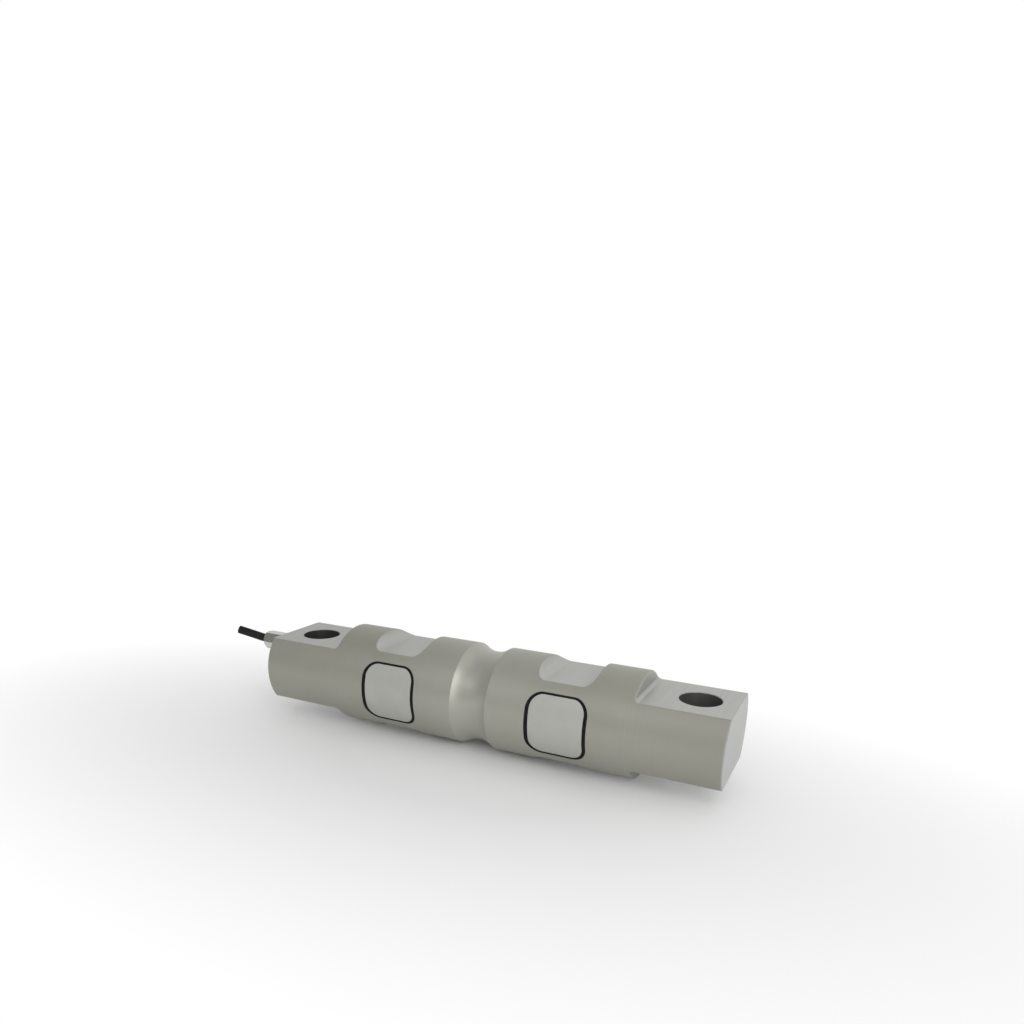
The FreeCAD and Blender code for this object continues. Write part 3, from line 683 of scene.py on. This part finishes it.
JACKET_COLOUR = (0.010, 0.010, 0.010)
JACKET_SCUFF_COLOUR = (0.020, 0.020, 0.019)
JACKET_SCUFF_PATCH = 6 * MM
JACKET_SCUFF_RANGE = (0.45, 0.75)
JACKET_ROUGHNESS = (0.5, 0.65)
JACKET_SPECULAR = 0.2
JACKET_GRAIN = 0.4 * MM
JACKET_GRAIN_DEPTH = 0.02 * MM
JACKET_BUMP = 0.3
BRAID_PER_METRE = 500.0
BRAID_WANDER = 2.0
BRAID_ROUGHNESS = (0.35, 0.25)
BRAID_DEPTH = 0.05 * MM
BRAID_BUMP = 0.6
CORE_COLOURS = {
    "red": (0.45, 0.02, 0.02),
    "black": (0.012, 0.012, 0.012),
    "green": (0.02, 0.22, 0.05),
    "white": (0.75, 0.75, 0.72),
}
CORE_SHADE = 0.8
CORE_CLOUD = 1 * MM
CORE_ROUGHNESS = 0.35


def smooth_route(route):
    """The cable's line, read from a spline with the route's points as its control points."""
    curve = bpy.data.curves.new("cable_route", "CURVE")
    curve.dimensions = "3D"
    curve.resolution_u = CABLE_STEPS
    spline = curve.splines.new("NURBS")
    spline.points.add(len(route) - 1)
    for control, point in zip(spline.points, route):
        control.co = (*point, 1.0)
    spline.order_u = 3
    spline.use_endpoint_u = True
    guide = bpy.data.objects.new("cable_route", curve)
    line = bpy.data.meshes.new_from_object(guide)
    points = [vertex.co.copy() for vertex in line.vertices]
    bpy.data.objects.remove(guide)
    bpy.data.curves.remove(curve)
    bpy.data.meshes.remove(line)
    return points


def cable_jacket(line):
    """A tube along the line, with a bore for the screen and slightly rounded cut ends."""
    outer = CABLE_DIAMETER / 2
    bore = JACKET_BORE / 2
    start_inset = line[0] + (line[1] - line[0]).normalized() * CUT_ROUND
    end_inset = line[-1] - (line[-1] - line[-2]).normalized() * CUT_ROUND
    rings = [(line[0], bore), (line[0], outer - CUT_ROUND), (start_inset, outer)]
    rings += [(point, outer) for point in line[1:-1]]
    rings += [(end_inset, outer), (line[-1], outer - CUT_ROUND), (line[-1], bore)]
    rings += [(point, bore) for point in reversed(line[1:-1])]
    vertices = []
    for centre, radius in rings:
        nearest = min(range(len(line)), key=lambda i: (line[i] - centre).length)
        ahead = line[min(nearest + 1, len(line) - 1)] - line[max(nearest - 1, 0)]
        sideways = ahead.cross(Vector((0, 0, 1))).normalized()
        up = sideways.cross(ahead).normalized()
        for step in range(JACKET_SIDES):
            angle = 2 * math.pi * step / JACKET_SIDES
            vertices.append(centre + (sideways * math.cos(angle) + up * math.sin(angle)) * radius)
    faces = []
    for ring in range(len(rings)):
        this_ring = ring * JACKET_SIDES
        next_ring = (ring + 1) % len(rings) * JACKET_SIDES
        for step in range(JACKET_SIDES):
            after = (step + 1) % JACKET_SIDES
            faces.append((this_ring + step, next_ring + step, next_ring + after, this_ring + after))
    return smooth_piece("cable_jacket", vertices, faces, JACKET_CREASE)


def black_jacket():
    material, tree, shader, place = blank_finish("cable_jacket")
    grain = mottle(tree, place, JACKET_GRAIN)
    scuffs = mottle(tree, place, JACKET_SCUFF_PATCH)
    scuffed = ramp(tree, scuffs, *JACKET_SCUFF_RANGE)
    relief = {"Strength": JACKET_BUMP, "Distance": JACKET_GRAIN_DEPTH, "Height": grain}
    feed(tree, shader, {
        "Base Color": blend(tree, scuffed, JACKET_COLOUR, JACKET_SCUFF_COLOUR),
        "Roughness": ramp(tree, scuffs, *NOISE_RANGE, *JACKET_ROUGHNESS),
        "Specular IOR Level": JACKET_SPECULAR,
        "Normal": add(tree, "Bump", relief),
    })
    return material


def braided_screen():
    """Tinned copper wires that cross each other."""
    material, tree, shader, place = blank_finish("shield_braid")
    pattern = {"Vector": place, "Scale": BRAID_PER_METRE, "Distortion": BRAID_WANDER}
    weave = add(tree, "TexWave", pattern, output="Fac")
    relief = {"Strength": BRAID_BUMP, "Distance": BRAID_DEPTH, "Height": weave}
    feed(tree, shader, {
        "Base Color": blend(tree, weave, WIRE_SHADE_COLOUR, TINNED_COLOUR),
        "Metallic": 1.0,
        "Roughness": between(tree, weave, *BRAID_ROUGHNESS),
        "Normal": add(tree, "Bump", relief),
    })
    return material


cable_line = smooth_route(CABLE_ROUTE)
jacket = cable_jacket(cable_line)
jacket.data.materials.append(black_jacket())
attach(jacket, "root")
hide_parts("cable_sheath")
dress(braided_screen(), "cable_shield")
for core, colour in CORE_COLOURS.items():
    shade = tuple(channel * CORE_SHADE for channel in colour)
    dress(clouded(f"core_{core}", colour, shade, CORE_CLOUD, CORE_ROUGHNESS), f"core_{core}")
cord_pieces = ["cable_shield", *[f"core_{core}" for core in CORE_COLOURS]]
cord_pieces += ["gland_body", "gland_nut", "gland_seal", "gland_gasket"]


# The stage is a pale floor that the bar lies on, with soft light from the right, the front and above.
# Away from the bar the floor fades into the white surroundings. In reflections the room in front is
# dimmer than the white behind.

FLOOR_LEVEL = cad_low[2]
FLOOR_REACH = 4.0
FLOOR_COLOUR = (0.76, 0.76, 0.76)
FLOOR_ROUGHNESS = 0.8
FADE_CENTRE = (0.0, -0.04, FLOOR_LEVEL)
FADE_SHARES = (0.5, 1.0, 1.0)
FADE_START = 0.04
FADE_END = 0.19
SURROUNDINGS_LIGHT = 0.6
ROOM_LIGHT = 0.25
ROOM_TO_WHITE = (0.2, 0.9)
LAMP_DISTANCE = 1.0
WHITE = (1.0, 1.0, 1.0, 1.0)


def seen_directly(tree):
    """1 for rays from the camera, a reflection or a clear material, and 0 for plain lighting."""
    path = tree.nodes.new("ShaderNodeLightPath").outputs
    indirect = arithmetic(tree, "MAXIMUM", path["Is Glossy Ray"], path["Is Transmission Ray"])
    return arithmetic(tree, "MAXIMUM", path["Is Camera Ray"], indirect)


def pale_floor():
    material, tree, shader, place = blank_finish("pale_floor")
    feed(tree, shader, {"Base Color": (*FLOOR_COLOUR, 1.0), "Roughness": FLOOR_ROUGHNESS})
    offset = add(tree, "VectorMath", {0: place, 1: FADE_CENTRE}, operation="SUBTRACT")
    oval = add(tree, "VectorMath", {0: offset, 1: FADE_SHARES}, operation="MULTIPLY")
    far = ramp(tree, length(tree, oval), FADE_START, FADE_END)
    fade = arithmetic(tree, "MULTIPLY", far, seen_directly(tree))
    white = add(tree, "Emission", {"Color": WHITE, "Strength": 1.0})
    faded = add(tree, "MixShader", {0: fade, 1: shader.outputs[0], 2: white})
    feed(tree, tree.nodes["Material Output"], {"Surface": faded})
    return material


def surroundings_brightness(tree):
    """White where it is seen, dimmer above and in front in reflections, and even as plain lighting."""
    path = tree.nodes.new("ShaderNodeLightPath").outputs
    direction = tree.nodes.new("ShaderNodeTexCoord").outputs["Generated"]
    room = ramp(tree, axes(tree, direction)["Y"], *ROOM_TO_WHITE, ROOM_LIGHT, 1.0)
    lighting = between(tree, path["Is Glossy Ray"], SURROUNDINGS_LIGHT, room)
    clear = arithmetic(tree, "MAXIMUM", path["Is Camera Ray"], path["Is Transmission Ray"])
    return between(tree, clear, lighting, 1.0)


def soft_light(name, direction, width, height, radiance, lean=0.0):
    """A flat lamp that looks at the bar from a direction, and may lean to its right, in degrees."""
    lamp = bpy.data.lights.new(name, "AREA")
    lamp.shape = "RECTANGLE"
    lamp.size = width
    lamp.size_y = height
    lamp.energy = radiance * math.pi * width * height
    light = bpy.data.objects.new(name, lamp)
    back = Vector(direction).normalized()
    light.location = back * LAMP_DISTANCE
    upright = back.to_track_quat("Z", "Y")
    light.rotation_euler = (upright @ Quaternion((0, 0, 1), -math.radians(lean))).to_euler()
    bpy.context.scene.collection.objects.link(light)


floor_corners = [
    (x * FLOOR_REACH, y * FLOOR_REACH, FLOOR_LEVEL) for x, y in ((-1, -1), (1, -1), (1, 1), (-1, 1))
]
floor_mesh = bpy.data.meshes.new("floor")
floor_mesh.from_pydata(floor_corners, [], [(0, 1, 2, 3)])
floor_mesh.materials.append(pale_floor())
floor = bpy.data.objects.new("floor", floor_mesh)
bpy.context.scene.collection.objects.link(floor)

world = bpy.data.worlds.new("white_surroundings")
bpy.context.scene.world = world
world.use_nodes = True
brightness = surroundings_brightness(world.node_tree)
feed(world.node_tree, world.node_tree.nodes["Background"], {"Color": WHITE, "Strength": brightness})

soft_light("key_light", (0.62, -0.60, 0.42), width=0.4, height=1.0, radiance=3.5, lean=15)
soft_light("top_light", (0.3, 0.1, 1.0), width=0.9, height=0.7, radiance=0.5)
soft_light("front_light", (0.0, -0.76, 0.65), width=1.4, height=0.5, radiance=0.75)


# The camera stands in front of the bar and to its right, a little above it, as in the photograph.
# The lens is shifted upright, because the bar lies low in the frame.

CAMERA_AZIMUTH = math.radians(25.226)
CAMERA_ELEVATION = math.radians(20.408)
CAMERA_ROLL = math.radians(1.468)
CAMERA_DISTANCE = 480 * MM
CAMERA_TARGET = Vector((6.443, 15.830, -6.802)) * MM
FOCAL_LENGTH = 27.845
SENSOR_WIDTH = 36
FRAMING_SHIFT = 0.1836

view_back = Vector((
    math.sin(CAMERA_AZIMUTH) * math.cos(CAMERA_ELEVATION),
    -math.cos(CAMERA_AZIMUTH) * math.cos(CAMERA_ELEVATION),
    math.sin(CAMERA_ELEVATION),
))
level_right = Vector((0, 0, 1)).cross(view_back).normalized()
level_up = view_back.cross(level_right)
rolled_right = level_right * math.cos(CAMERA_ROLL) + level_up * math.sin(CAMERA_ROLL)
rolled_up = level_up * math.cos(CAMERA_ROLL) - level_right * math.sin(CAMERA_ROLL)
camera_turn = Matrix((rolled_right, rolled_up, view_back)).transposed().to_4x4()
camera_data = bpy.data.cameras.new("camera")
camera_data.lens = FOCAL_LENGTH
camera_data.sensor_width = SENSOR_WIDTH
camera_data.shift_y = FRAMING_SHIFT
camera = bpy.data.objects.new("camera", camera_data)
camera.matrix_world = Matrix.Translation(CAMERA_TARGET + view_back * CAMERA_DISTANCE) @ camera_turn
bpy.context.scene.collection.objects.link(camera)
bpy.context.scene.camera = camera

bpy.context.scene.view_settings.view_transform = "Standard"
